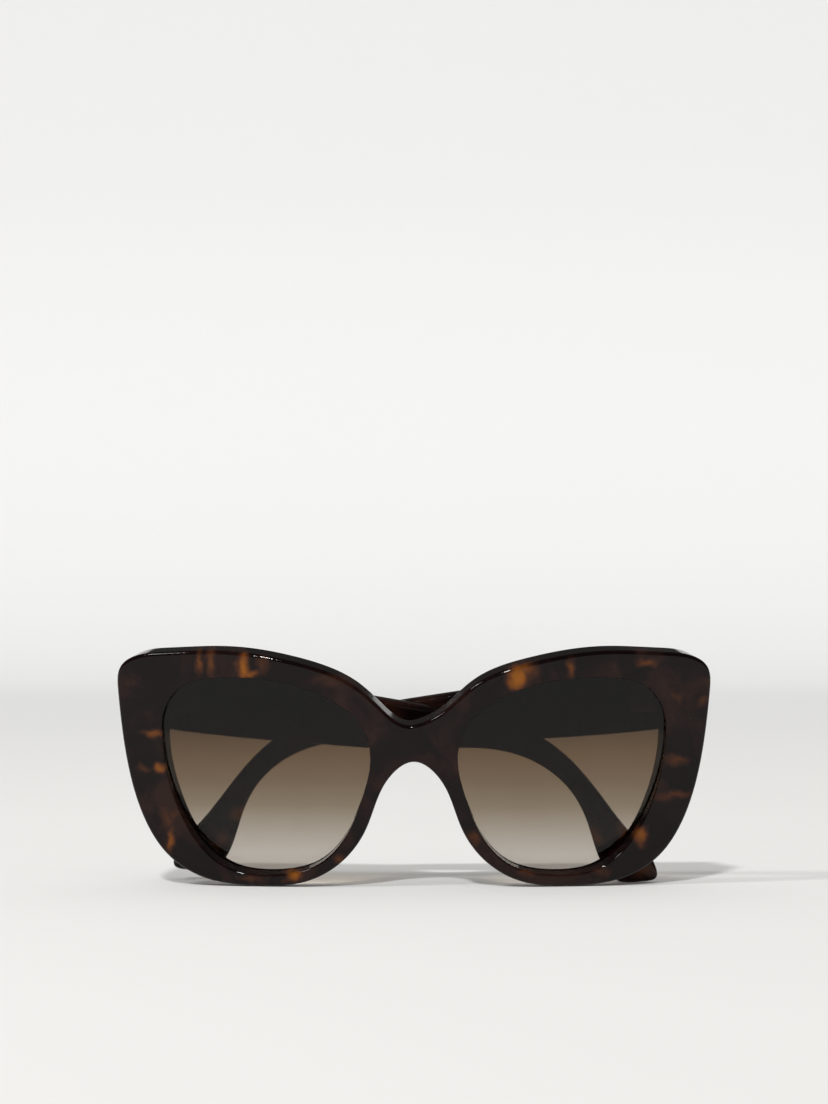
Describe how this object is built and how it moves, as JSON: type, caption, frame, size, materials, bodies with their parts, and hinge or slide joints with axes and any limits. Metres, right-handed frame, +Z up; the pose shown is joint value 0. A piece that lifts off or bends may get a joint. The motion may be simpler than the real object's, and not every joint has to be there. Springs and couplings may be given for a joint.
{
  "type": "cat eye sunglasses",
  "caption": "Cat eye sunglasses: a thick bent tortoiseshell acetate front with brown gradient lenses, and hooked temples that fold behind it.",
  "frame": {"origin": "middle of the box's bottom, on the surface that the folded glasses stand on", "axes": "+X to the wearer's left, +Y to the back, towards the folded temples, +Z up"},
  "size_m": [0.1444, 0.0388, 0.0587],
  "materials": {
    "acetate_front": "polished dark tortoiseshell acetate",
    "acetate_temple": "polished dark tortoiseshell acetate",
    "nose_pad": "polished acetate",
    "lens": "polished, tinted brown, darker at the top",
    "hinge_metal": "satin nickel silver",
    "screw_metal": "satin steel",
    "core_metal": "satin steel wire"
  },
  "bodies": {
    "front": {"front_frame": "acetate_front", "left_lens": "lens", "right_lens": "lens", "left_nose_pad": "nose_pad", "right_nose_pad": "nose_pad", "left_front_leaf": "hinge_metal", "right_front_leaf": "hinge_metal", "left_hinge_screw": "screw_metal", "right_hinge_screw": "screw_metal"},
    "left_temple_arm": {"left_temple": "acetate_temple", "left_temple_leaf": "hinge_metal", "left_core_wire": "core_metal"},
    "right_temple_arm": {"right_temple": "acetate_temple", "right_temple_leaf": "hinge_metal", "right_core_wire": "core_metal"}
  },
  "joints": [
    {"name": "left_hinge", "type": "hinge", "parent": "front", "child": "left_temple_arm", "pos_m": [0.0635, 0.00218, 0.04606], "axis": [0, 0.1908, -0.9816], "range_deg": [0, 86.7]},
    {"name": "right_hinge", "type": "hinge", "parent": "front", "child": "right_temple_arm", "pos_m": [-0.0635, 0.00218, 0.04606], "axis": [0, -0.1908, 0.9816], "range_deg": [0, 91.9]}
  ]
}
